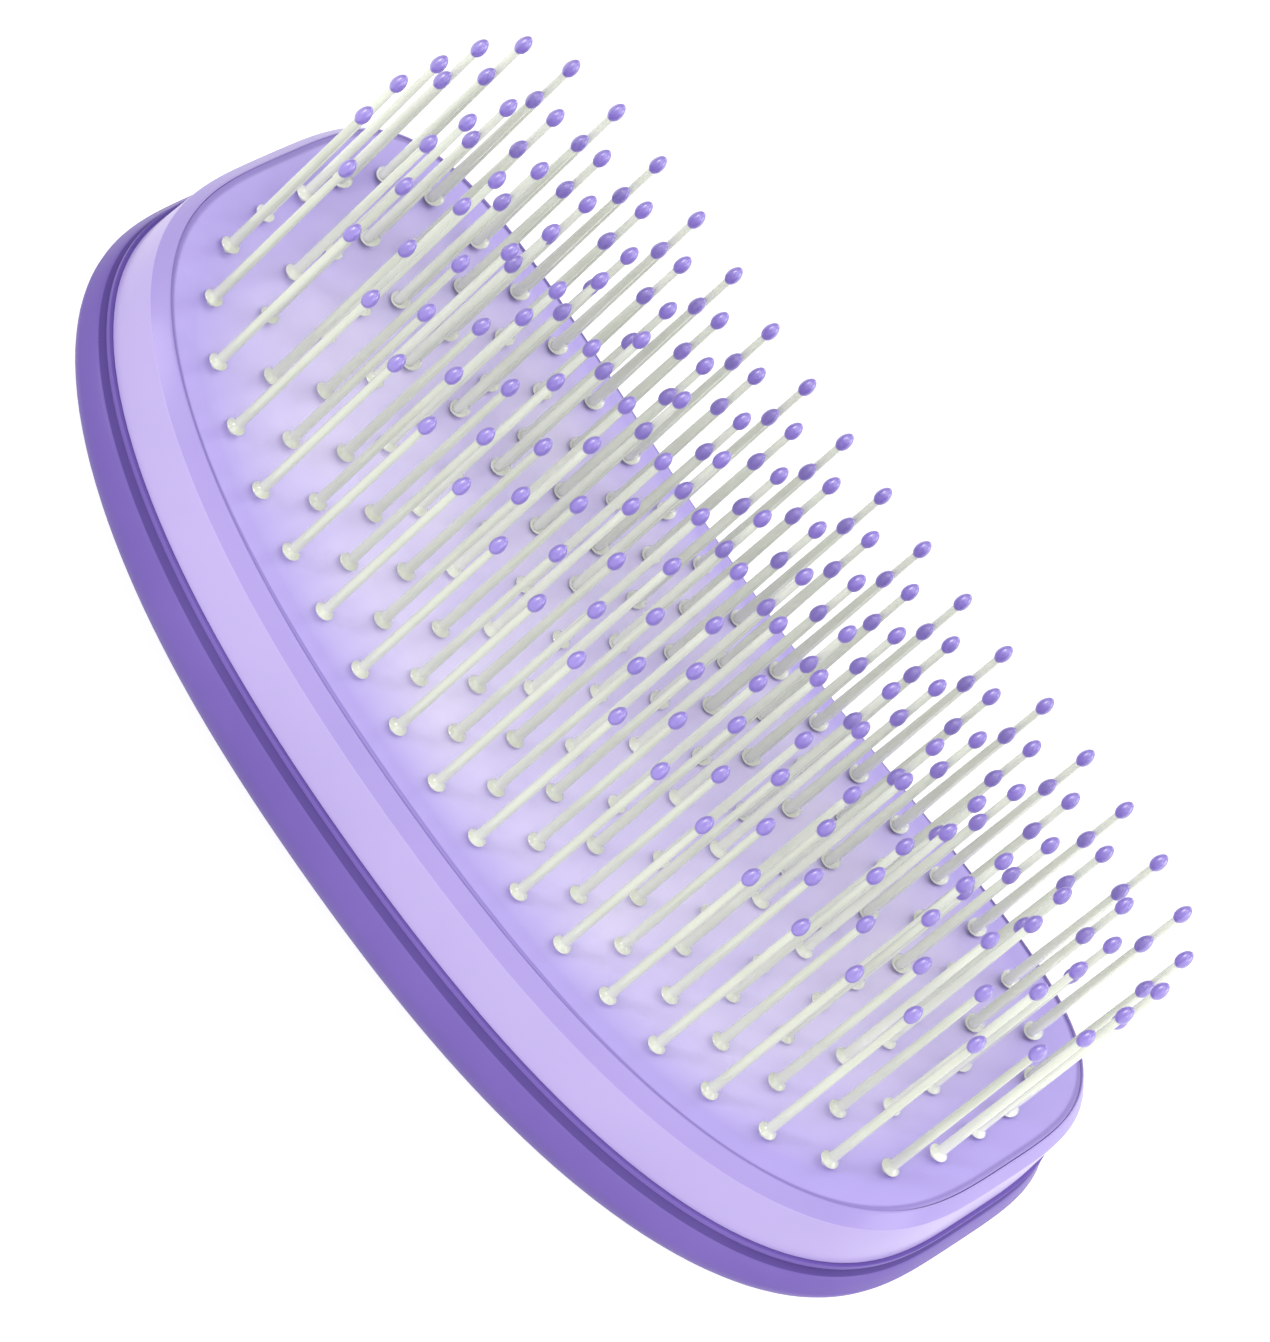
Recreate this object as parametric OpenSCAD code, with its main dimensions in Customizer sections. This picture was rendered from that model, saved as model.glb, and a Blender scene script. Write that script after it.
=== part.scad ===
// Detangling brush: a bent palm body whose air cushion carries rings of ball-tipped pins.
// Length runs along X, width along Y, and the pins point up along +Z.
// The brush lies on the flat land of its back shell, and the origin is the middle of that land.

/* [Pad] */
// Length of the rubber pad that carries the pins
pad_l = 118; // [100:1:140]
// Width of the rubber pad
pad_w = 58.4; // [52:0.4:70]
// Radius of the lengthwise bend of the whole body
bend_r = 206; // [176:5:261]
// Height of the pad's crown across its width
pad_crown = 1.2; // [0.6:0.1:2]
// Thickness of the pad's rubber sheet
pad_t = 1.2; // [0.9:0.1:1.6]
// Depth of the skirt round the pad's edge
skirt_h = 3.4; // [2.4:0.2:4]
// Thickness of that skirt
skirt_t = 1.4; // [1:0.1:2]
// Distance that the pad can be pressed in
press_travel = 1.6; // [0.8:0.2:1.8]

/* [Front frame] */
// Running gap between the pad and the frame
edge_gap = 0.35; // [0.25:0.05:0.5]
// Width of the frame's inner slope, from the gap to the ridge
slope_w = 1.2; // [0.8:0.05:1.6]
// Height that the inner slope falls
slope_h = 2; // [1:0.1:2.6]
// Flare of the outer face below the ridge
flare_w = 0.4; // [0.2:0.05:0.8]
// Height of the frame's outer face
face_h = 5.5; // [5.1:0.2:7.9]
// Length of the tongue that enters the shell
tongue_h = 2.8; // [2:0.2:4]
// Thickness of the tongue
tongue_t = 0.9; // [0.7:0.1:1.1]
// Width of the inner flange that holds the base plate
flange_w = 1.8; // [1.2:0.2:2.6]

/* [Base plate] */
// Thickness of the plate that closes the air chamber
plate_t = 1.6; // [1.2:0.1:1.8]
// Room left between the plate and the skirt of a pad that is pressed right in
plate_room = 0.4; // [0.2:0.1:0.8]
// Diameter of the vent hole
vent_d = 3; // [2:0.5:5]
// Clearance where fixed pieces meet
fit_gap = 0.2; // [0.12:0.02:0.26]

/* [Back shell] */
// Overhang of the shell's widest line beyond the pad
shell_over = 3.4; // [3:0.2:5]
// Wall of the shell
shell_wall = 1.6; // [1.2:0.1:1.7]
// Overhang of the shell's lip beyond the frame above it
lip_over = 0.4; // [0.3:0.05:0.5]
// Height of that lip
lip_h = 0.5; // [0.4:0.05:0.7]
// Height of the groove under the lip
groove_h = 1; // [0.7:0.1:1.2]
// Depth of that groove
groove_d = 0.4; // [0.2:0.05:0.45]
// Height of the side from the joint line to the widest line
side_h = 3.5; // [2.9:0.2:5]
// Depth of the dome below the widest line
dome_h = 8.6; // [7:0.5:14]
// Depth cut off the dome to give it a flat land
land_cut = 0.6; // [0.4:0.1:0.8]
// Gap of the shadow line between the frame and the shell
shadow_gap = 0.2; // [0.15:0.05:0.4]

/* [Pins] */
// Height of a long pin, from the pad to the middle of its tip
pin_h = 23.3; // [18.3:0.5:27.8]
// Height of a short pin, measured the same way
short_h = 18.4; // [12:0.4:19.2]
// Diameter of a pin's shaft at the foot
shaft_d = 0.96; // [0.8:0.04:1]
// Diameter of a pin's shaft at the tip
neck_d = 0.8; // [0.6:0.05:0.8]
// Diameter of a pin's foot
foot_d = 2; // [1.6:0.1:2.2]
// Height of a pin's domed foot
foot_h = 0.8; // [0.5:0.1:1]
// Diameter of the head that anchors a pin under the pad
head_d = 1.8; // [1.5:0.1:2]
// Thickness of that head
head_h = 0.5; // [0.4:0.1:0.7]
// Distance from a long shaft to the short one that shares its foot
twin_gap = 1.36; // [1.32:0.02:1.5]
// Rim of a shared foot beyond its two shafts
foot_rim = 0.16; // [0.14:0.02:0.3]
// Clearance of a pin in the pad, all round and under its foot
pin_gap = 0.12; // [0.08:0.02:0.16]
// Distance from the pad's edge to the outer ring of pins
edge_inset = 3.9; // [3.5:0.2:4.9]
// Distance from one ring of pins to the next
ring_gap = 5.95; // [5.65:0.1:6.25]
// Number of rings round the middle row
ring_count = 4; // [2:1:4]
// Spacing of the pins along a ring
pin_pitch = 6.3; // [5.6:0.1:8]
// Spacing of the pins along the innermost ring
inner_pitch = 6.75; // [6:0.25:8]

/* [Tips] */
// Diameter of the egg-shaped tip
tip_d = 1.7; // [1.4:0.1:2]
// Length of the tip
tip_l = 2.6; // [2.2:0.1:3]
// Length of shaft inside the tip
tip_grip = 0.9; // [0.6:0.1:1]

/* [Hidden] */
// Squareness of the outline, from 2 for an ellipse upwards
outline_power = 3.5;
// Squareness of the dome's lowest ring
back_power = 2.3;
// Roundness of the dome, from 1 for an ellipse down
dome_round_share = 0.82;
// How much fuller the egg's lower half is than its upper half
egg_share = 0.15;
// Hollowness of a foot's shoulder, from 1 for a straight one upwards
foot_power = 1.5;
// Clearance of a shaft in its tip
tip_gap = 0.03;
// Points round an outline, and rings in the dome
outline_steps = 96;
dome_steps = 9;
arc_steps = 240;
fine = 96;
pin_facets = 24;
foot_steps = 4;
tip_steps = 8;
// Half of each rounded corner on the frame and the shell
corner = 0.3;
// Overrun of cuts
over = 1;

half_l = pad_l / 2;
half_w = pad_w / 2;
pad_out = [half_l, half_w];

ridge_out = edge_gap + slope_w;
face_out = ridge_out + flare_w;
lip_out = face_out + lip_over;
joint_h = slope_h + face_h;
tongue_out = edge_gap + tongue_t;
rim_h = joint_h + shadow_gap;
tongue_end = joint_h + tongue_h;
plate_depth = skirt_h + press_travel + plate_room;
flange_h = plate_depth + plate_t + fit_gap;
shell_in = tongue_out + fit_gap;
widest_h = rim_h + side_h;
base_h = widest_h + dome_h - land_cut;

// Radius of the arc that crowns the pad across its width
crown_r = (half_w * half_w + pad_crown * pad_crown) / (2 * pad_crown);
// The pad's own lengthwise radius, which brings its crown down to the frame at both ends
end_rise = bend_r - sqrt(bend_r * bend_r - half_l * half_l);
pad_rise = end_rise - pad_crown;
pad_r = (half_l * half_l + pad_rise * pad_rise) / (2 * pad_rise);
bend_angle = 2 * asin((half_l + shell_over + over) / bend_r);

// Height over the origin of a point at x that lies h above the pad's edge
function lift(x, h) = base_h + bend_r - sqrt((bend_r - h) * (bend_r - h) - x * x);
// Fall of the pad's crown at y
function crown_fall(y) = crown_r - sqrt(crown_r * crown_r - y * y);
// Height over the origin of the surface that lies depth below the pad's upper face at x, y
function pad_z(x, y, depth) =
    let (r = pad_r + crown_fall(y) + depth)
    base_h + pad_crown + pad_r - sqrt(r * r - x * x);

// Point at angle t on an outline with the given half sizes
function oval(size, power, t) =
    let (k = pow(pow(abs(cos(t)), power) + pow(abs(sin(t)), power), -1 / power))
    [size.x * cos(t) * k, size.y * sin(t) * k];

// Grows half sizes by the same amount each way
function grown(size, d) = [size.x + d, size.y + d];

// One bent ring of points, h above the pad's edge
function bent_ring(size, power, h) =
    [for (i = [0:outline_steps - 1])
        let (p = oval(size, power, 360 * i / outline_steps)) [p.x, p.y, lift(p.x, h)]];

// Two triangles for each cell between neighbouring rings a and b
function ring_faces(a, b) =
    [for (i = [0:outline_steps - 1])
        let (j = (i + 1) % outline_steps, m = a * outline_steps, n = b * outline_steps)
        each [[m + i, n + i, n + j], [m + i, n + j, m + j]]];

// A closed band whose cross-section runs through the given outward and upward offsets
module bent_band(section) {
    count = len(section);
    points = [for (s = section) each bent_ring(grown(pad_out, s[0]), outline_power, s[1])];
    faces = [for (r = [0:count - 1]) each ring_faces(r, (r + 1) % count)];
    polyhedron(points, faces, convexity = 6);
}

// A closed shell through rings of [half sizes, power, height], with both ends capped at the middle
module bent_bowl(rings) {
    count = len(rings);
    first = rings[0];
    last = rings[count - 1];
    points = concat(
        [for (r = rings) each bent_ring(r[0], r[1], r[2])],
        [[0, 0, lift(0, first[2])], [0, 0, lift(0, last[2])]]);
    mid = count * outline_steps;
    top = (count - 1) * outline_steps;
    faces = concat(
        [for (r = [0:count - 2]) each ring_faces(r, r + 1)],
        [for (i = [0:outline_steps - 1]) [mid, i, (i + 1) % outline_steps]],
        [for (i = [0:outline_steps - 1]) [mid + 1, top + (i + 1) % outline_steps, top + i]]);
    polyhedron(points, faces, convexity = 6);
}

// A straight prism over the pad's outline grown by d
module outline_prism(d) {
    size = grown(pad_out, d);
    linear_extrude(height = base_h + bend_r / 2)
        polygon([for (i = [0:outline_steps - 1]) oval(size, outline_power, 360 * i / outline_steps)]);
}

// Turns a section about the bend's axis, which lies along Y at the given height
module bent(axis_h) {
    translate([0, 0, axis_h])
        rotate([-90, 0, 0])
            rotate([0, 0, 90 - bend_angle / 2])
                rotate_extrude(angle = bend_angle, $fn = 4 * fine)
                    children();
}

// A plain layer between two heights over the pad's edge
module bent_layer(top_h, bottom_h) {
    wide = half_w + shell_over;
    bent(base_h + bend_r)
        translate([bend_r - top_h, -wide])
            square([top_h - bottom_h, 2 * wide]);
}

// Everything from the given depth below the pad's crowned face down to its skirt and beyond
module crowned_layer(depth) {
    wide = half_w + shell_over;
    bent(base_h + pad_crown + pad_r)
        intersection() {
            translate([pad_r + depth + crown_r, 0])
                circle(r = crown_r, $fn = 8 * fine);
            translate([pad_r, -wide])
                square([pad_crown + depth + 2 * skirt_h, 2 * wide]);
        }
}

// Half sizes of ring k of pins, counted from the outside
function ring_size(k) = grown(pad_out, -edge_inset - (k - 1) * ring_gap);

// Running length round ring k, as pairs of length and angle that start at the near middle
function ring_lengths(k) =
    let (
        size = ring_size(k),
        spots = [for (i = [0:arc_steps]) oval(size, outline_power, 360 * i / arc_steps - 90)])
    [for (i = 0, run = 0; i <= arc_steps;
        run = run + (i < arc_steps ? norm(spots[i + 1] - spots[i]) : 0), i = i + 1)
        [run, 360 * i / arc_steps - 90]];

// Evenly spaced pins on ring k, with every second ring turned by half a pitch
function ring_pins(k) =
    let (
        lengths = ring_lengths(k),
        total = lengths[arc_steps][0],
        pitch = k == ring_count ? inner_pitch : pin_pitch,
        count = 2 * round(total / (2 * pitch)),
        shift = k % 2 == 0 ? 1 / 2 : 0)
    [for (i = [0:count - 1]) oval(ring_size(k), outline_power, lookup((i + shift) * total / count, lengths))];

// The straight row in the middle of the rings
function middle_pins() =
    let (count = 2 * floor((ring_size(ring_count).x - pin_pitch / 2) / pin_pitch) + 1)
    [for (i = [0:count - 1]) [(i - (count - 1) / 2) * pin_pitch, 0]];

row_count = 2 * ring_count + 1;
all_pins = concat([for (k = [1:ring_count]) each ring_pins(k)], middle_pins());
// Distance of a row's middle line from the brush's
function row_y(row) = (row - ring_count - 1) * ring_gap;
function row_of(pin) = max(1, min(row_count, round(pin.y / ring_gap) + ring_count + 1));
function row_pins(row) = [for (p = all_pins) if (row_of(p) == row) p];
// Pins in the far half have a short one in front
function is_twin(pin) = pin.y > ring_gap / 4;
function twin_of(pin) = [pin.x, pin.y - twin_gap];
// Half the length of a shared foot, which lies across the rows
twin_reach = (twin_gap + shaft_d) / 2 + foot_rim;

// Height of the underside of a foot that clears the bent pad all round
function seat_z(pin) =
    let (reach = is_twin(pin) ? twin_gap / 2 + twin_reach : foot_d / 2)
    pad_z(abs(pin.x) + foot_d / 2, max(abs(pin.y) - reach, 0), 0) + pin_gap;
// Height of the top of the head under the pad
function head_z(pin) = pad_z(max(abs(pin.x) - head_d / 2, 0), abs(pin.y) + head_d / 2, pad_t) - pin_gap;
// Height of a tip's lowest point
function tip_z(pin, high) = pad_z(pin.x, pin.y, 0) + high - tip_l / 2;

// Tapered shaft from a foot's underside up into the tip
module shaft(pin, foot_z, high) {
    translate([pin.x, pin.y, foot_z])
        cylinder(d1 = shaft_d, d2 = neck_d, h = tip_z(pin, high) + tip_grip - foot_z, $fn = pin_facets);
}

// Foot with a flat rim and hollow shoulders
module foot(spot, foot_z) {
    shoulder = [for (i = [0:foot_steps]) let (rise = i / foot_steps)
        [shaft_d / 2 + (foot_d - shaft_d) / 2 * pow(1 - rise, foot_power), foot_h / 4 + foot_h * 3 / 4 * rise]];
    translate([spot.x, spot.y, foot_z])
        rotate_extrude($fn = pin_facets)
            polygon(concat([[0, 0], [foot_d / 2, 0]], shoulder, [[0, foot_h]]));
}

// Rim of a shared foot round one of its two shafts
module foot_ledge(spot, foot_z) {
    translate([spot.x, spot.y, foot_z])
        cylinder(d = shaft_d + 2 * foot_rim, h = foot_h / 2, $fn = pin_facets);
}

// Foot midway between a long shaft and its short one, with a ledge that reaches round each
module shared_foot(pin, foot_z) {
    foot([pin.x, pin.y - twin_gap / 2], foot_z);
    foot_ledge(pin, foot_z);
    foot_ledge(twin_of(pin), foot_z);
}

// Neck through the pad and the head below it
module anchor(pin, foot_z) {
    top = head_z(pin);
    translate([pin.x, pin.y, top - head_h])
        cylinder(d = head_d, h = head_h, $fn = pin_facets);
    translate([pin.x, pin.y, top - head_h / 2])
        cylinder(d = shaft_d, h = foot_z + head_h - top, $fn = pin_facets);
}

module pin_row(row) {
    color([0.84, 0.86, 0.79])
        for (pin = row_pins(row)) {
            foot_z = seat_z(pin);
            union() {
                shaft(pin, foot_z, pin_h);
                anchor(pin, foot_z);
                if (is_twin(pin)) {
                    shaft(twin_of(pin), foot_z, short_h);
                    shared_foot(pin, foot_z);
                } else {
                    foot(pin, foot_z);
                }
            }
        }
}

// Egg-shaped tip with the socket that its shaft enters
module tip(pin, high) {
    egg = [for (i = [0:tip_steps]) let (t = 180 * i / tip_steps)
        [tip_d / 2 * sin(t) * (1 + egg_share * cos(t)), tip_l / 2 * (1 - cos(t))]];
    translate([pin.x, pin.y, tip_z(pin, high)])
        difference() {
            rotate_extrude($fn = pin_facets)
                polygon(egg);
            translate([0, 0, -over])
                cylinder(d = neck_d + 2 * tip_gap, h = over + tip_grip + tip_gap, $fn = pin_facets);
        }
}

module pin_tips(row) {
    color([0.66, 0.57, 0.9])
        for (pin = row_pins(row)) {
            tip(pin, pin_h);
            if (is_twin(pin))
                tip(twin_of(pin), short_h);
        }
}

// The rubber sheet with its crown, its skirt and a hole for each pin
module rubber_pad() {
    color([0.8, 0.76, 0.92])
        difference() {
            intersection() {
                outline_prism(0);
                crowned_layer(0);
                bent_layer(pad_crown + over, -skirt_h);
            }
            intersection() {
                outline_prism(-skirt_t);
                crowned_layer(pad_t);
            }
            for (pin = all_pins)
                translate([pin.x, pin.y, 0])
                    cylinder(d = shaft_d + 2 * pin_gap, h = base_h + bend_r / 2, $fn = pin_facets);
        }
}

// The pale trim ring: inner slope, ridge, outer face, tongue into the shell, and a flange for the plate
module front_frame() {
    color([0.76, 0.7, 0.92])
        bent_band([
            [edge_gap, -flange_h],
            [edge_gap, -corner],
            [edge_gap + corner, 0],
            [ridge_out - corner, -slope_h + corner],
            [ridge_out, -slope_h],
            [ridge_out + corner / 2, -slope_h - corner],
            [face_out, -joint_h + corner],
            [face_out - corner, -joint_h],
            [tongue_out, -joint_h],
            [tongue_out, -tongue_end],
            [-flange_w, -tongue_end],
            [-flange_w, -flange_h]]);
}

// The plate that closes the air chamber, with its vent
module base_plate() {
    color([0.5, 0.42, 0.66])
        difference() {
            intersection() {
                outline_prism(edge_gap - fit_gap);
                bent_layer(-plate_depth, -plate_depth - plate_t);
            }
            cylinder(d = vent_d, h = base_h, $fn = fine);
        }
}

// Half sizes, squareness and height of the shell's ring at angle t of the dome, for its outer or inner face
function dome_ring(t, inset) =
    let (
        part = pow(cos(t), dome_round_share),
        size = grown(pad_out, shell_over - inset))
    [
        size * max(part, 1 / outline_steps),
        outline_power + (back_power - outline_power) * t / 90,
        -widest_h - (dome_h - inset) * pow(sin(t), dome_round_share)];

// The dark palm shell, cut flat where the brush rests
module back_shell() {
    angles = [for (i = [0:dome_steps]) 90 * i / dome_steps];
    inner = [for (i = [dome_steps:-1:0]) dome_ring(angles[i], shell_wall)];
    outer = [for (i = [0:dome_steps]) dome_ring(angles[i], 0)];
    mouth = [
        [grown(pad_out, shell_in), outline_power, -rim_h - corner],
        [grown(pad_out, shell_in + corner / 2), outline_power, -rim_h],
        [grown(pad_out, lip_out - corner / 2), outline_power, -rim_h],
        [grown(pad_out, lip_out), outline_power, -rim_h - lip_h / 3],
        [grown(pad_out, lip_out), outline_power, -rim_h - lip_h],
        [grown(pad_out, lip_out - groove_d), outline_power, -rim_h - lip_h - groove_h / 3],
        [grown(pad_out, lip_out - groove_d / 3), outline_power, -rim_h - lip_h - groove_h * 2 / 3],
        [grown(pad_out, lip_out + (shell_over - lip_out) / 3), outline_power, -rim_h - lip_h - groove_h]];
    color([0.5, 0.41, 0.72])
        difference() {
            bent_bowl(concat(inner, mouth, outer));
            translate([-half_l, -half_w, -land_cut - over])
                cube([pad_l, pad_w, land_cut + over]);
        }
}

back_shell();
front_frame();
base_plate();
rubber_pad();
for (row = [1:row_count])
    pin_row(row);
for (row = [1:row_count])
    pin_tips(row);
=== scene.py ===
"""A detangling brush: dark palm shell, pale frame and rubber pad with rings of ball-tipped pins.

Sizes are in millimetres in the object's own frame, and MM turns them into metres.
"""
import math

import bpy
import numpy as np
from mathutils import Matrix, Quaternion, Vector


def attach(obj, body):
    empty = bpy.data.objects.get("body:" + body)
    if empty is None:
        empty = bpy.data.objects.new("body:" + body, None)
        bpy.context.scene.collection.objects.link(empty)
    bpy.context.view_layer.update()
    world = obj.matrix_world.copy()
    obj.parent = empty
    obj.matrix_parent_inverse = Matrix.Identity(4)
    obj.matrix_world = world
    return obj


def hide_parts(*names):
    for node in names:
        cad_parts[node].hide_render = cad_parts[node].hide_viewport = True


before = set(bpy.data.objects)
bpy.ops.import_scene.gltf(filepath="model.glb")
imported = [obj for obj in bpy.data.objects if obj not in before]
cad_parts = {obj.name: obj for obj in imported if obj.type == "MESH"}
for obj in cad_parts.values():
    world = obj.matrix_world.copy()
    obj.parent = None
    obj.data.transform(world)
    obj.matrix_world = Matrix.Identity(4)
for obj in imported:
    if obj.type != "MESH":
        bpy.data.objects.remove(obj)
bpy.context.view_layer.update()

MM = 0.001

# Driving sizes, the same as in the CAD model
PAD_L, PAD_W = 118.0, 58.4
BEND_R = 206.0
PAD_CROWN, PAD_T, SKIRT_H, SKIRT_T = 1.2, 1.2, 3.4, 1.4
EDGE_GAP, SLOPE_W, SLOPE_H, FLARE_W, FACE_H = 0.35, 1.2, 2.0, 0.4, 5.5
TONGUE_H, TONGUE_T, FLANGE_W = 2.8, 0.9, 1.8
PLATE_T, PLATE_DEPTH, FIT_GAP = 1.6, 5.4, 0.2
SHELL_OVER, SHELL_WALL, SIDE_H, DOME_H, LAND_CUT, SHADOW_GAP = 3.4, 1.6, 3.5, 8.6, 0.6, 0.2
LIP_OVER, LIP_H, GROOVE_H, GROOVE_D = 0.4, 0.5, 1.0, 0.4
PIN_H, SHORT_H = 23.3, 18.4
SHAFT_D, NECK_D, FOOT_D, FOOT_H, HEAD_D, HEAD_H = 0.96, 0.8, 2.0, 0.8, 1.8, 0.5
TWIN_GAP, PIN_GAP, FOOT_RIM = 1.36, 0.12, 0.16
EDGE_INSET, RING_GAP, RING_COUNT, PIN_PITCH, INNER_PITCH = 3.9, 5.95, 4, 6.3, 6.75
TIP_L, TIP_GRIP = 2.6, 0.9
# The egg that shows is slimmer than in the CAD model, and the foot of the shaft stouter
EGG_D, EGG_L, STEM_D = 1.42, 2.4, 1.1
OUTLINE_POWER, BACK_POWER, DOME_ROUND = 3.5, 2.3, 0.82
EGG_SHARE, FOOT_POWER = 0.15, 1.5

HALF = (PAD_L / 2, PAD_W / 2)
RIDGE_OUT = EDGE_GAP + SLOPE_W
FACE_OUT = RIDGE_OUT + FLARE_W
LIP_OUT = FACE_OUT + LIP_OVER
JOINT_H = SLOPE_H + FACE_H
TONGUE_OUT = EDGE_GAP + TONGUE_T
RIM_H = JOINT_H + SHADOW_GAP
FLANGE_H = PLATE_DEPTH + PLATE_T + FIT_GAP
SHELL_IN = TONGUE_OUT + FIT_GAP
WIDEST_H = RIM_H + SIDE_H
BASE_H = WIDEST_H + DOME_H - LAND_CUT
ROW_COUNT = 2 * RING_COUNT + 1

CROWN_R = (HALF[1] ** 2 + PAD_CROWN ** 2) / (2 * PAD_CROWN)
PAD_RISE = BEND_R - math.sqrt(BEND_R ** 2 - HALF[0] ** 2) - PAD_CROWN
PAD_R = (HALF[0] ** 2 + PAD_RISE ** 2) / (2 * PAD_RISE)

# Height of the line that shows between frame and shell
SEAM_H = 0.03
# Where the painted shade on the slope ends above the ridge and the painted shade in the groove
# starts under the lip, and the share of the groove that its painted shade covers
SLOPE_SHADE_EDGE, GROOVE_SHADE_EDGE, GROOVE_SHADE_SHARE = 0.05, 0.06, 0.9
# Depth and spread of the soft dimple in the pad round each foot
DIMPLE_DEPTH, DIMPLE_R = 0.08, 1.5
# Edge and upright share of a foot, and the edge of a head
FOOT_EDGE, FOOT_WALL, HEAD_EDGE = 0.08, 0.25, 0.1
# Size of the flat face that closes the middle of a domed one, as a share of the whole
MIDDLE = 0.004

# Points round an outline, and round a pin
AROUND, PIN_AROUND = 240, 20


def lift(x, h):
    """Height over the origin of a point at x that lies h above the pad's edge."""
    return BASE_H + BEND_R - np.sqrt((BEND_R - h) ** 2 - x * x)


def pad_z(x, y, depth=0.0):
    """Height of the surface that lies depth below the pad's upper face."""
    fall = CROWN_R - np.sqrt(CROWN_R ** 2 - y * y)
    return BASE_H + PAD_CROWN + PAD_R - np.sqrt((PAD_R + fall + depth) ** 2 - x * x)


def oval(size, power, angles):
    """Points on an outline with the given half sizes, as an array of x and y."""
    c, s = np.cos(angles), np.sin(angles)
    k = (np.abs(c) ** power + np.abs(s) ** power) ** (-1 / power)
    return np.stack([size[0] * c * k, size[1] * s * k], axis=1)


def grown(d):
    return HALF[0] + d, HALF[1] + d


ROUND = np.linspace(0, 2 * math.pi, AROUND, endpoint=False)


def bent_ring(size, power, h):
    """A ring of points on the bent body, h above the pad's edge."""
    p = oval(size, power, ROUND)
    return np.column_stack([p, lift(p[:, 0], h)])


# Pins


def ring_size(k):
    return grown(-EDGE_INSET - (k - 1) * RING_GAP)


def ring_pins(k, steps=240):
    """Evenly spaced pins on ring k, with every second ring turned by half a pitch."""
    angles = np.linspace(-math.pi / 2, 3 * math.pi / 2, steps + 1)
    spots = oval(ring_size(k), OUTLINE_POWER, angles)
    run = np.concatenate([[0], np.cumsum(np.hypot(*np.diff(spots, axis=0).T))])
    pitch = INNER_PITCH if k == RING_COUNT else PIN_PITCH
    count = 2 * int(run[-1] / (2 * pitch) + 0.5)
    shift = 0.5 if k % 2 == 0 else 0.0
    at = np.interp((np.arange(count) + shift) * run[-1] / count, run, angles)
    return oval(ring_size(k), OUTLINE_POWER, at)


def middle_pins():
    count = 2 * int((ring_size(RING_COUNT)[0] - PIN_PITCH / 2) // PIN_PITCH) + 1
    return np.array([((i - (count - 1) / 2) * PIN_PITCH, 0.0) for i in range(count)])


ALL_PINS = np.concatenate([ring_pins(k) for k in range(1, RING_COUNT + 1)] + [middle_pins()])


def row_of(y):
    return max(1, min(ROW_COUNT, int(math.floor(y / RING_GAP + 0.5)) + RING_COUNT + 1))


def row_pins(row):
    return [p for p in ALL_PINS if row_of(p[1]) == row]


def is_twin(pin):
    return pin[1] > RING_GAP / 4


# Half the length of a foot that carries two shafts
TWIN_REACH = (TWIN_GAP + SHAFT_D) / 2 + FOOT_RIM


def seat_z(pin):
    """Height of the underside of a foot."""
    reach = TWIN_GAP / 2 + TWIN_REACH if is_twin(pin) else FOOT_D / 2
    return pad_z(abs(pin[0]) + FOOT_D / 2, max(abs(pin[1]) - reach, 0.0)) + PIN_GAP


def head_z(pin):
    """Height of the top of the head under the pad."""
    return pad_z(max(abs(pin[0]) - HEAD_D / 2, 0.0), abs(pin[1]) + HEAD_D / 2, PAD_T) - PIN_GAP


def tip_z(pin, high):
    return pad_z(pin[0], pin[1]) + high - TIP_L / 2


# Mesh helpers


def new_object(name, verts, faces, material, sharp=38.0):
    """A smooth-shaded mesh object from millimetre vertices.

    Edges that bend by more than the sharp angle, in degrees, stay sharp.
    """
    mesh = bpy.data.meshes.new(name)
    mesh.from_pydata((np.asarray(verts) * MM).tolist(), [], faces)
    mesh.validate()
    mesh.shade_smooth()
    mesh.set_sharp_from_angle(angle=math.radians(sharp))
    mesh.materials.append(material)
    obj = bpy.data.objects.new(name, mesh)
    bpy.context.scene.collection.objects.link(obj)
    return obj


def ring_faces(count, around, closed):
    """Quads between neighbouring rings, with the last ring joined to the first if closed."""
    faces = []
    for r in range(count if closed else count - 1):
        a = r * around
        b = (r + 1) % count * around
        for i in range(around):
            j = (i + 1) % around
            faces.append((a + i, b + i, b + j, a + j))
    return faces


def round_corners(points, radii, steps=6, most=0.48):
    """A closed section with each corner rounded to its radius, over at most that share of a side."""
    result = []
    count = len(points)
    for i, (p, radius) in enumerate(zip(points, radii)):
        p = Vector(p)
        back = Vector(points[i - 1]) - p
        ahead = Vector(points[(i + 1) % count]) - p
        if radius == 0:
            result.append(tuple(p))
            continue
        half = back.angle(ahead) / 2
        reach = min(radius / math.tan(half), most * back.length, most * ahead.length)
        start = p + back.normalized() * reach
        end = p + ahead.normalized() * reach
        for k in range(steps + 1):
            t = k / steps
            result.append(tuple(start * (1 - t) ** 2 + p * (2 * t * (1 - t)) + end * t * t))
    return result


def lathe(profile, x, y, z, stretch=1.0):
    """Vertices and faces of a form turned on a vertical axis, closed by its two end points.

    A stretch other than 1 makes it oval along y.
    """
    angles = np.linspace(0, 2 * math.pi, PIN_AROUND, endpoint=False)
    inner = profile[1:-1]
    verts = []
    for r, h in inner:
        verts += [(x + r * math.cos(a), y + stretch * r * math.sin(a), z + h) for a in angles]
    faces = [tuple(reversed(f)) for f in ring_faces(len(inner), PIN_AROUND, False)]
    bottom = len(verts)
    verts += [(x, y, z + profile[0][1]), (x, y, z + profile[-1][1])]
    top_ring = (len(inner) - 1) * PIN_AROUND
    for i in range(PIN_AROUND):
        j = (i + 1) % PIN_AROUND
        faces.append((bottom, j, i))
        faces.append((bottom + 1, top_ring + i, top_ring + j))
    return verts, faces


def gather(parts):
    """Joins several (verts, faces) into one."""
    verts = []
    faces = []
    for v, f in parts:
        start = len(verts)
        verts += v
        faces += [tuple(i + start for i in face) for face in f]
    return verts, faces


# Materials

BLACK, WHITE = (0, 0, 0, 1), (1, 1, 1, 1)


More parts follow.
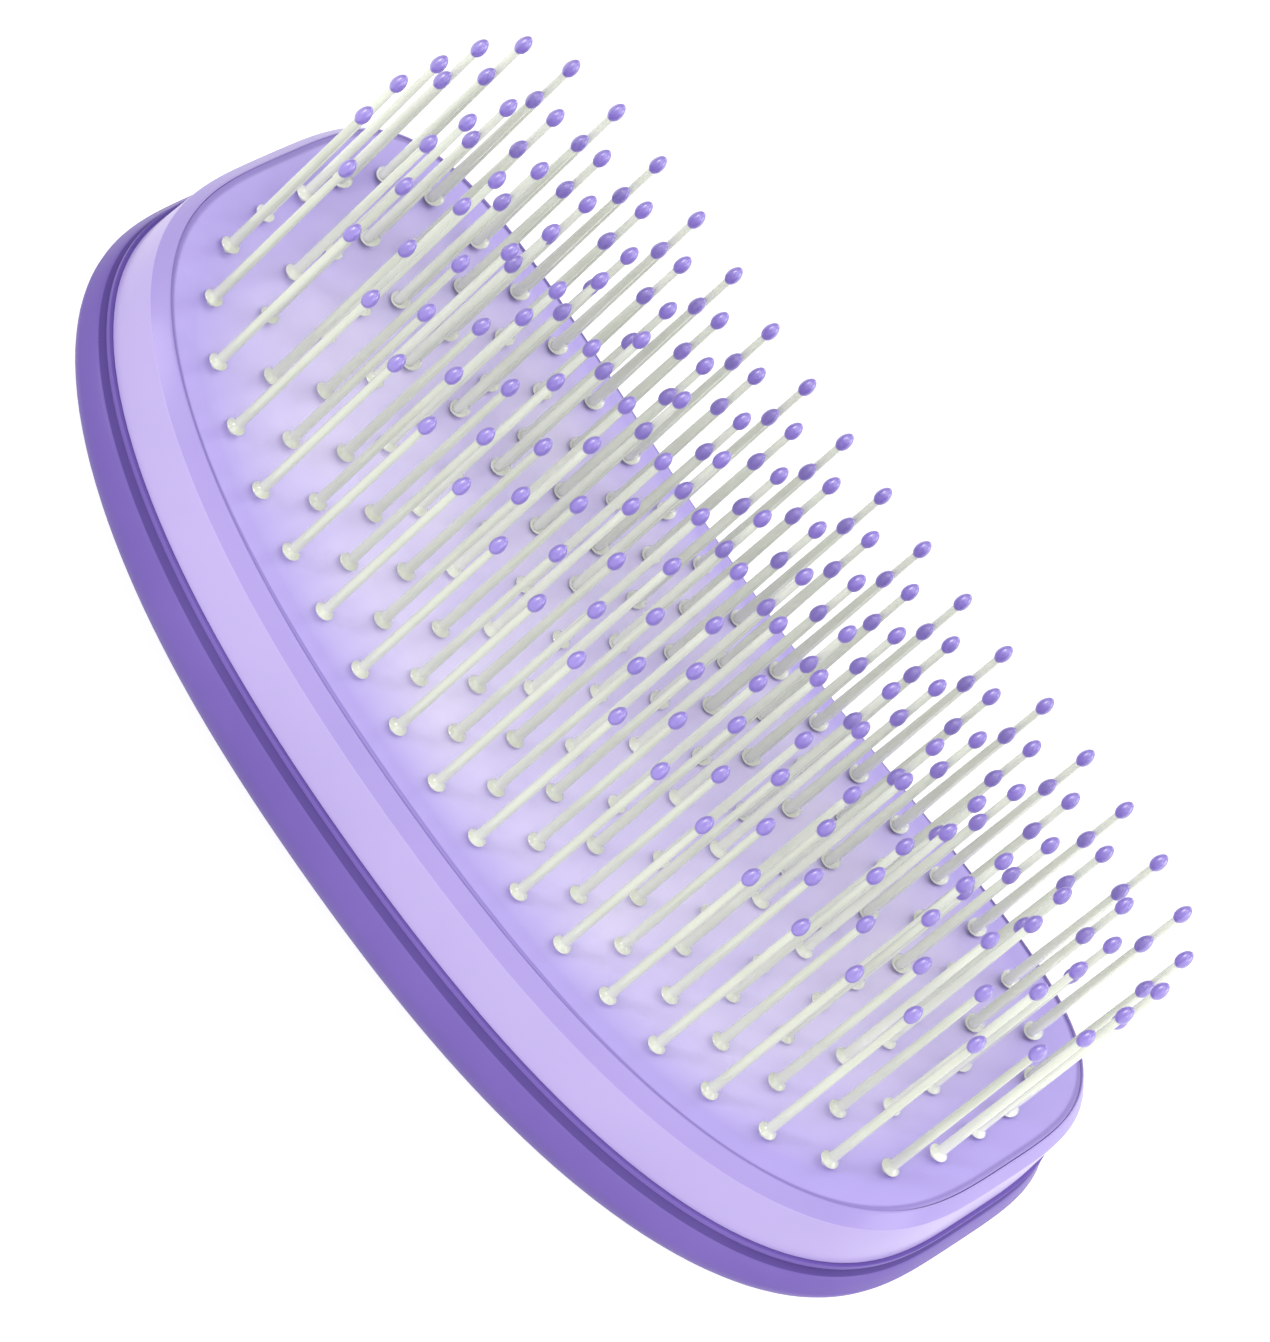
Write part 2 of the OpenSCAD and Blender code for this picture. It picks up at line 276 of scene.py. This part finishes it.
def srgb(r, g, b):
    """Linear colour from 8-bit screen values."""
    def one(v):
        v /= 255
        return v / 12.92 if v <= 0.04045 else ((v + 0.055) / 1.055) ** 2.4
    return one(r), one(g), one(b), 1.0


class Graph:
    """A short way to build one material's nodes."""

    def __init__(self, name):
        self.material = bpy.data.materials.new(name)
        self.material.use_nodes = True
        self.tree = self.material.node_tree
        self.shader = self.tree.nodes["Principled BSDF"]

    def node(self, kind, **settings):
        n = self.tree.nodes.new(kind)
        for key, value in settings.items():
            if hasattr(n, key):
                setattr(n, key, value)
            else:
                n.inputs[key.replace("_", " ")].default_value = value
        return n

    def link(self, a, b):
        self.tree.links.new(a, b)

    def place(self, stretch=(1, 1, 1)):
        """Object coordinates, stretched."""
        where = self.node("ShaderNodeTexCoord")
        turn = self.node("ShaderNodeMapping")
        turn.inputs["Scale"].default_value = stretch
        self.link(where.outputs["Object"], turn.inputs["Vector"])
        return turn.outputs["Vector"]

    def math(self, operation, a, b):
        """A sum on two values, each a number or another node's output."""
        n = self.node("ShaderNodeMath", operation=operation)
        for value, socket in zip((a, b), n.inputs):
            if isinstance(value, float):
                socket.default_value = value
            else:
                self.link(value, socket)
        return n.outputs["Value"]

    def mix(self, factor, low, high):
        """Goes from the output low to the colour high as the factor goes from 0 to 1."""
        n = self.node("ShaderNodeMix", data_type="RGBA")
        self.link(factor, n.inputs["Factor"])
        self.link(low, n.inputs["A"])
        n.inputs["B"].default_value = high
        return n.outputs["Result"]

    def outline_share(self):
        """0 at the middle of the pad and 1 along the mouth of the frame."""
        parts = self.node("ShaderNodeSeparateXYZ")
        size = grown(EDGE_GAP)
        self.link(self.place((1 / (size[0] * MM), 1 / (size[1] * MM), 1)), parts.inputs["Vector"])
        powers = []
        for name in ("X", "Y"):
            share = self.math("ABSOLUTE", parts.outputs[name], 0.0)
            powers.append(self.math("POWER", share, OUTLINE_POWER))
        return self.math("ADD", *powers)

    def noise(self, scale, detail=3.0, stretch=(1, 1, 1)):
        n = self.node("ShaderNodeTexNoise", Scale=scale, Detail=detail)
        self.link(self.place(stretch), n.inputs["Vector"])
        return n.outputs["Fac"]

    def ramp(self, factor, low, high, a=0.35, b=0.65):
        n = self.node("ShaderNodeValToRGB")
        n.color_ramp.elements[0].position = a
        n.color_ramp.elements[1].position = b
        n.color_ramp.elements[0].color = low
        n.color_ramp.elements[1].color = high
        self.link(factor, n.inputs["Fac"])
        return n.outputs["Color"]

    def spread(self, factor, low, high):
        n = self.node("ShaderNodeMapRange")
        n.inputs["To Min"].default_value = low
        n.inputs["To Max"].default_value = high
        self.link(factor, n.inputs["Value"])
        return n.outputs["Result"]

    def bump(self, factor, strength, distance):
        n = self.node("ShaderNodeBump", Strength=strength, Distance=distance)
        self.link(factor, n.inputs["Height"])
        self.link(n.outputs["Normal"], self.shader.inputs["Normal"])

    def set(self, **values):
        for key, value in values.items():
            self.shader.inputs[key.replace("_", " ")].default_value = value


def shell_material(name, low, high):
    g = Graph(name)
    g.link(g.ramp(g.noise(60.0), low, high), g.shader.inputs["Base Color"])
    g.link(g.spread(g.noise(400.0), 0.42, 0.5), g.shader.inputs["Roughness"])
    g.bump(g.noise(2500.0, 2.0), 0.12, 0.00004)
    g.set(Specular_IOR_Level=0.2, Coat_Weight=0.03, Coat_Roughness=0.12)
    return g.material


def frame_material(name, low, high):
    g = Graph(name)
    g.link(g.ramp(g.noise(50.0), low, high), g.shader.inputs["Base Color"])
    g.link(g.spread(g.noise(300.0), 0.32, 0.4), g.shader.inputs["Roughness"])
    g.bump(g.noise(2500.0, 2.0), 0.1, 0.00004)
    g.set(Specular_IOR_Level=0.35, Coat_Weight=0.1, Coat_Roughness=0.15)
    return g.material


def pad_material():
    g = Graph("pad_rubber")
    # Painted sheen: the pad is paler and softly streaked in its middle and deeper lavender towards
    # its rim; the pale middle also lightens the shade among the pins
    painted_sheen_streaks = g.ramp(g.noise(90.0, 2.0, (1.0, 0.6, 1.0)), srgb(216, 204, 251), srgb(228, 218, 254))
    share = g.outline_share()
    painted_sheen_to_rim = g.mix(g.ramp(share, BLACK, WHITE, 0.2, 0.8), painted_sheen_streaks, srgb(180, 163, 234))
    # Painted shade: the pad's outermost edge, in the crease against the frame, is darkened
    edge = g.mix(g.ramp(share, BLACK, WHITE, 0.957, 0.975), painted_sheen_to_rim, srgb(144, 126, 198))
    g.link(edge, g.shader.inputs["Base Color"])
    g.link(g.spread(g.noise(500.0), 0.3, 0.4), g.shader.inputs["Roughness"])
    g.bump(g.noise(1800.0, 3.0), 0.2, 0.00006)
    return g.material


def pin_material(name, low, high):
    g = Graph(name)
    g.link(g.ramp(g.noise(120.0), low, high), g.shader.inputs["Base Color"])
    g.link(g.spread(g.noise(600.0), 0.1, 0.16), g.shader.inputs["Roughness"])
    g.set(IOR=1.55, Coat_Weight=0.6, Coat_Roughness=0.06)
    g.set(Subsurface_Weight=0.5, Subsurface_Radius=(1.0, 1.0, 0.9), Subsurface_Scale=0.0004)
    return g.material


def tip_material():
    g = Graph("tip_purple")
    colour = g.ramp(g.noise(200.0), srgb(108, 76, 190), srgb(116, 84, 197))
    g.link(colour, g.shader.inputs["Base Color"])
    g.link(g.spread(g.noise(900.0), 0.36, 0.44), g.shader.inputs["Roughness"])
    g.set(IOR=1.8, Coat_Weight=1.0, Coat_Roughness=0.34, Coat_IOR=2.0)
    return g.material


def plate_material():
    g = Graph("plate_plastic")
    colour = g.ramp(g.noise(80.0), srgb(112, 92, 164), srgb(120, 100, 172))
    g.link(colour, g.shader.inputs["Base Color"])
    g.link(g.spread(g.noise(400.0), 0.4, 0.5), g.shader.inputs["Roughness"])
    return g.material


# Pieces


def make_frame(face_material, slope_shade_material):
    """The trim ring, with painted shade on its slope, which is coloured deeper than its face.

    Each corner of its section is a distance out from the pad's edge, a height and a radius.
    """
    foot = RIM_H - SEAM_H
    tongue_end = JOINT_H + TONGUE_H
    section = [
        ((EDGE_GAP, -FLANGE_H), 0.2), ((EDGE_GAP, 0.0), 0.16), ((RIDGE_OUT, -SLOPE_H), 0.5),
        ((FACE_OUT, -foot), 0.08), ((TONGUE_OUT, -foot), 0.1), ((TONGUE_OUT, -tongue_end), 0.15),
        ((-FLANGE_W, -tongue_end), 0.15), ((-FLANGE_W, -FLANGE_H), 0.15)]
    path = round_corners([p for p, _ in section], [r for _, r in section])
    verts = np.concatenate([bent_ring(grown(d), OUTLINE_POWER, h) for d, h in path])
    ring = new_object("frame_ring", verts, ring_faces(len(path), AROUND, True), face_material, 50.0)
    ring.data.materials.append(slope_shade_material)
    # Painted shade: the slope above the ridge gets the deeper copy of the frame colour
    for polygon in ring.data.polygons:
        d, h = path[polygon.index // AROUND]
        if d < RIDGE_OUT and h > -SLOPE_H + SLOPE_SHADE_EDGE:
            polygon.material_index = 1
    return ring


def dome_ring(angle, inset):
    """Half sizes, power and height of a ring of the dome, at an angle from its side to its back."""
    part = max(math.cos(angle) ** DOME_ROUND, MIDDLE)
    size = grown(SHELL_OVER - inset)
    power = OUTLINE_POWER + (BACK_POWER - OUTLINE_POWER) * angle / (math.pi / 2)
    drop = (DOME_H - inset) * math.sin(angle) ** DOME_ROUND
    return (size[0] * part, size[1] * part), power, -WIDEST_H - drop


def make_shell(material, groove_shade_material, steps=40):
    """The palm shell, smooth outside and in, with a flat land and painted shade in its groove."""
    angles = [math.pi / 2 * i / steps for i in range(steps + 1)]
    rings = [dome_ring(a, SHELL_WALL) for a in reversed(angles)]
    groove_top = RIM_H + LIP_H
    lip = round_corners(
        [(SHELL_IN, -RIM_H - SIDE_H / 2), (SHELL_IN, -RIM_H), (LIP_OUT, -RIM_H),
         (LIP_OUT, -groove_top), (LIP_OUT - GROOVE_D, -groove_top - GROOVE_H * 0.3),
         (LIP_OUT + (SHELL_OVER - LIP_OUT) / 3, -groove_top - GROOVE_H), (SHELL_OVER, -WIDEST_H),
         (SHELL_OVER, -WIDEST_H - 0.1)],
        [0.0, 0.1, 0.08, 0.12, 0.3, 1.2, 0.0, 0.0])
    rings += [(grown(d), OUTLINE_POWER, h) for d, h in lip[1:-2]]
    rings += [dome_ring(a, 0.0) for a in angles]
    points = [bent_ring(*r) for r in rings]
    verts = np.concatenate(points)
    verts[:, 2] = np.maximum(verts[:, 2], 0.0)
    faces = ring_faces(len(rings), AROUND, False)
    faces.append(tuple(range(AROUND)))
    faces.append(tuple(reversed(range(len(verts) - AROUND, len(verts)))))
    shell = new_object("palm_shell", verts, faces, material, 60.0)
    shell.data.materials.append(groove_shade_material)
    # Painted shade: the groove under the lip gets the darker copy of the shell colour
    for polygon in shell.data.polygons:
        ring = polygon.index // AROUND
        if steps < ring < len(rings) - steps - 1:
            size, _, h = rings[ring]
            painted_groove_shade = groove_top + GROOVE_SHADE_EDGE < -h < groove_top + GROOVE_H * GROOVE_SHADE_SHARE
            if painted_groove_shade and size[0] > grown(RIDGE_OUT)[0]:
                polygon.material_index = 1
    return shell


def make_pad(material, steps=70):
    """The rubber sheet: a crowned face with rolled edge and soft dimples, skirt and underside."""
    roll, bevel, clearance, crowding = 0.1, 0.3, 0.01, 1.35
    reach = EDGE_GAP - clearance
    shares = 1 - (1 - np.linspace(MIDDLE, 1, steps)) ** crowding
    rings = []
    for share in shares:
        p = oval([half * share for half in grown(reach)], 2 + (OUTLINE_POWER - 2) * share, ROUND)
        rings.append(np.column_stack([p, pad_z(p[:, 0], p[:, 1])]))
    top = np.concatenate(rings)
    apart = ((top[:, None, :2] - ALL_PINS[None]) ** 2).sum(axis=2)
    top[:, 2] -= DIMPLE_DEPTH * np.exp(-apart / (2 * DIMPLE_R ** 2)).sum(axis=1)
    edge = np.minimum(1.0, np.repeat((1 - shares) * HALF[1], AROUND) / roll)
    top[:, 2] -= roll * (1 - np.sqrt(np.clip(1 - (1 - edge) ** 2, 0, 1)))
    outer = bent_ring(grown(reach), OUTLINE_POWER, -SKIRT_H + bevel)
    foot = bent_ring(grown(-bevel), OUTLINE_POWER, -SKIRT_H)
    inner_foot = bent_ring(grown(-SKIRT_T), OUTLINE_POWER, -SKIRT_H)
    under = []
    for share in (1.0, 0.9, 0.75, 0.6, 0.4, 0.2, 0.01):
        p = oval([half * share for half in grown(-SKIRT_T)], OUTLINE_POWER, ROUND)
        under.append(np.column_stack([p, pad_z(p[:, 0], p[:, 1], PAD_T)]))
    rings = [top, outer, foot, inner_foot] + under
    verts = np.concatenate(rings)
    count = len(verts) // AROUND
    faces = ring_faces(count, AROUND, False)
    faces.append(tuple(range(AROUND)))
    faces.append(tuple(reversed(range(len(verts) - AROUND, len(verts)))))
    faces = [tuple(reversed(f)) for f in faces]
    return new_object("rubber_sheet", verts, faces, material, 60.0)


def foot_profile(top_r, steps=8):
    """Half-section of a foot from its rim up to the radius where it meets the shaft."""
    profile = [(FOOT_D / 2 - FOOT_EDGE, 0.0), (FOOT_D / 2, FOOT_EDGE)]
    for i in range(steps + 1):
        rise = i / steps
        r = top_r + (FOOT_D / 2 - top_r) * (1 - rise) ** FOOT_POWER
        profile.append((r, FOOT_H * (FOOT_WALL + (1 - FOOT_WALL) * rise)))
    return profile


def shaft_profile(foot_z, end_z, anchor_top, footed):
    """Half-section of a shaft and the height of its lower end.

    It has a neck and head below it where the top of the head is given, and a round foot if footed.
    """
    low = foot_z
    profile = [(0.0, 0.0)]
    if anchor_top is not None:
        low = anchor_top - HEAD_H
        profile += [(HEAD_D / 2 - HEAD_EDGE, 0.0), (HEAD_D / 2, HEAD_EDGE)]
        profile += [(HEAD_D / 2, HEAD_H - HEAD_EDGE), (HEAD_D / 2 - HEAD_EDGE, HEAD_H)]
        profile.append((SHAFT_D / 2, HEAD_H))
    base = foot_z - low
    profile.append((SHAFT_D / 2, base))
    if footed:
        profile += [(r, base + h) for r, h in foot_profile(STEM_D / 2)]
    top = end_z - low
    start = base + FOOT_H
    for share in (0.05, 0.3, 0.7, 1.0):
        profile.append((STEM_D / 2 + (NECK_D - STEM_D) / 2 * share, start + (top - start) * share))
    profile.append((0.0, top))
    return profile, low


def tip_profile(steps=14):
    """Half-section of an egg that is a little fuller below its middle."""
    profile = []
    for i in range(steps + 1):
        t = math.pi * i / steps
        r = EGG_D / 2 * math.sin(t) * (1 + EGG_SHARE * math.cos(t)) if 0 < i < steps else 0.0
        profile.append((r, (TIP_L - EGG_L * math.cos(t)) / 2))
    return profile


def make_pin_row(row, material):
    parts = []
    for pin in row_pins(row):
        x, y = pin
        twin = is_twin(pin)
        foot_z = seat_z(pin)
        profile, low = shaft_profile(foot_z, tip_z(pin, PIN_H) + TIP_GRIP, head_z(pin), not twin)
        parts.append(lathe(profile, x, y, low))
        if twin:
            near = (x, y - TWIN_GAP)
            profile, low = shaft_profile(foot_z, tip_z(near, SHORT_H) + TIP_GRIP, None, False)
            parts.append(lathe(profile, x, near[1], low))
            foot = [(0.0, 0.0)] + foot_profile(STEM_D / 2) + [(0.0, FOOT_H)]
            parts.append(lathe(foot, x, y - TWIN_GAP / 2, foot_z, 2 * TWIN_REACH / FOOT_D))
    verts, faces = gather(parts)
    return new_object(f"pins_{row}", verts, faces, material, 50.0)


def make_tip_row(row, material):
    parts = []
    profile = tip_profile()
    for pin in row_pins(row):
        x, y = pin
        parts.append(lathe(profile, x, y, tip_z(pin, PIN_H)))
        if is_twin(pin):
            near = (x, y - TWIN_GAP)
            parts.append(lathe(profile, x, near[1], tip_z(near, SHORT_H)))
    verts, faces = gather(parts)
    return new_object(f"tips_{row}", verts, faces, material, 180.0)


def add_piece(piece, body, node):
    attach(piece, body)
    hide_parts(node)


def build_brush():
    shell = shell_material("shell_purple", srgb(113, 91, 170), srgb(120, 98, 177))
    # Painted shade: a darker copy of the shell colour, for the groove
    groove = shell_material("shell_groove_painted_shade", srgb(86, 66, 140), srgb(92, 72, 146))
    add_piece(make_shell(shell, groove), "root", "back_shell")
    face = frame_material("frame_lavender", srgb(184, 168, 222), srgb(190, 174, 227))
    # Painted shade: a deeper copy of the frame colour, for the slope
    slope = frame_material("frame_slope_painted_shade", srgb(162, 145, 210), srgb(168, 151, 215))
    add_piece(make_frame(face, slope), "root", "front_frame")
    pad = make_pad(pad_material())
    add_piece(pad, "pad", "rubber_pad")
    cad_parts["base_plate"].data.materials.clear()
    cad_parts["base_plate"].data.materials.append(plate_material())
    near_pins = pin_material("pin_nylon", srgb(209, 213, 196), srgb(217, 221, 205))
    # Painted light: the far rows get a lighter copy of the pin colour, which lightens the shade cast
    # on them by the nearer rows
    far_pins_painted_light = pin_material("pin_nylon_far_painted_light", srgb(226, 230, 214), srgb(234, 238, 222))
    tips = tip_material()
    for row in range(1, ROW_COUNT + 1):
        pins = make_pin_row(row, near_pins if row < RING_COUNT else far_pins_painted_light)
        add_piece(pins, f"row_{row}", f"pin_row_{row}")
        add_piece(make_tip_row(row, tips), f"row_{row}", f"pin_tips_{row}")


# Camera, light and floor

# Place and aim of the camera in millimetres, and its turn about its own axis in degrees
CAMERA_AT = (90.35, -623.03, 560.09)
CAMERA_TO = (-0.47, 7.93, 19.2)
CAMERA_ROLL = -49.04
# Focal length and height of the photograph in its pixels, and the size of the camera's frame
FOCAL_PX, PHOTO_H, SENSOR = 8670.6, 1342.0, 36.0
# Distance of the lamps from the brush and half the width of the floor, in metres
LAMP_REACH, FLOOR_REACH = 0.7, 3.0
# The floor lies this far below the brush, in millimetres, so that the two faces don't meet
FLOOR_GAP = 0.1
# Brightness added to the floor where it is seen, and strength of the soft light all round
FLOOR_GLOW, WORLD_LEVEL = 0.8, 0.72
# Name, azimuth and elevation in degrees, size in metres and light level of each lamp
LAMPS = [
    ("front", -95, 10, 0.5, 0.05),
    ("right", -38, 5, 0.3, 0.14),
    ("end", 5, 12, 0.4, 0.28),
    ("back", 60, 50, 0.6, 0.36),
    ("high", -75, 38, 0.5, 0.2),
    ("left", -130, 14, 0.25, 0.3),
]


def add_camera():
    data = bpy.data.cameras.new("camera")
    data.sensor_width = SENSOR
    data.lens = FOCAL_PX / PHOTO_H * SENSOR
    data.clip_start = 0.01
    data.clip_end = 20.0
    camera = bpy.data.objects.new("camera", data)
    at = Vector(CAMERA_AT) * MM
    look = (Vector(CAMERA_TO) * MM - at).to_track_quat("-Z", "Y")
    camera.rotation_mode = "QUATERNION"
    camera.rotation_quaternion = look @ Quaternion((0, 0, 1), math.radians(-CAMERA_ROLL))
    camera.location = at
    bpy.context.scene.collection.objects.link(camera)
    bpy.context.scene.camera = camera


def add_lamp(name, azimuth, elevation, size, level):
    """A soft disc lamp that faces the brush from the given direction and lights it at the level."""
    a = math.radians(azimuth)
    e = math.radians(elevation)
    aim = Vector((0, 0, BASE_H * MM))
    away = LAMP_REACH * Vector((math.cos(e) * math.cos(a), math.cos(e) * math.sin(a), math.sin(e)))
    data = bpy.data.lights.new(name, "AREA")
    data.shape = "DISK"
    data.size = size
    data.energy = level * (math.pi * LAMP_REACH) ** 2
    lamp = bpy.data.objects.new(name, data)
    lamp.location = aim + away
    lamp.rotation_mode = "QUATERNION"
    lamp.rotation_quaternion = (-away).to_track_quat("-Z", "Y")
    bpy.context.scene.collection.objects.link(lamp)


def seen_directly(tree):
    """1 for rays that reach a surface from the camera, a gloss or a clear material."""
    path = tree.nodes.new("ShaderNodeLightPath")
    total = path.outputs["Is Camera Ray"]
    for name in ("Is Glossy Ray", "Is Transmission Ray"):
        either = tree.nodes.new("ShaderNodeMath")
        either.operation = "MAXIMUM"
        tree.links.new(total, either.inputs[0])
        tree.links.new(path.outputs[name], either.inputs[1])
        total = either.outputs[0]
    return total


def add_floor():
    """A pale floor that looks white, keeps the shadow of the brush and is clear from below."""
    mesh = bpy.data.meshes.new("floor")
    r = FLOOR_REACH
    z = -FLOOR_GAP * MM
    mesh.from_pydata([(-r, -r, z), (r, -r, z), (r, r, z), (-r, r, z)], [], [(0, 1, 2, 3)])
    floor = bpy.data.objects.new("floor", mesh)
    bpy.context.scene.collection.objects.link(floor)
    g = Graph("floor_white")
    colour = g.ramp(g.noise(3.0), (0.48, 0.48, 0.5, 1), (0.52, 0.52, 0.54, 1))
    g.link(colour, g.shader.inputs["Base Color"])
    g.set(Roughness=0.8, Specular_IOR_Level=0.1)
    glow = g.node("ShaderNodeEmission", Color=WHITE, Strength=FLOOR_GLOW)
    both = g.node("ShaderNodeAddShader")
    g.link(g.shader.outputs[0], both.inputs[0])
    g.link(glow.outputs[0], both.inputs[1])
    pick = g.node("ShaderNodeMixShader")
    g.link(seen_directly(g.tree), pick.inputs["Fac"])
    g.link(g.shader.outputs[0], pick.inputs[1])
    g.link(both.outputs[0], pick.inputs[2])
    below = g.node("ShaderNodeMixShader")
    g.link(g.node("ShaderNodeNewGeometry").outputs["Backfacing"], below.inputs["Fac"])
    g.link(pick.outputs[0], below.inputs[1])
    g.link(g.node("ShaderNodeBsdfTransparent").outputs[0], below.inputs[2])
    g.link(below.outputs[0], g.tree.nodes["Material Output"].inputs["Surface"])
    mesh.materials.append(g.material)


def add_world():
    """Soft light from all round, and plain white where the world itself is seen."""
    world = bpy.data.worlds.new("studio")
    bpy.context.scene.world = world
    world.use_nodes = True
    nodes = world.node_tree.nodes
    links = world.node_tree.links
    soft = nodes["Background"]
    soft.inputs["Color"].default_value = WHITE
    soft.inputs["Strength"].default_value = WORLD_LEVEL
    white = nodes.new("ShaderNodeBackground")
    white.inputs["Color"].default_value = WHITE
    white.inputs["Strength"].default_value = 1.0
    pick = nodes.new("ShaderNodeMixShader")
    links.new(seen_directly(world.node_tree), pick.inputs["Fac"])
    links.new(soft.outputs[0], pick.inputs[1])
    links.new(white.outputs[0], pick.inputs[2])
    links.new(pick.outputs[0], nodes["World Output"].inputs["Surface"])


bpy.context.scene.view_settings.view_transform = "Standard"
build_brush()
add_camera()
add_world()
add_floor()
for lamp in LAMPS:
    add_lamp(*lamp)
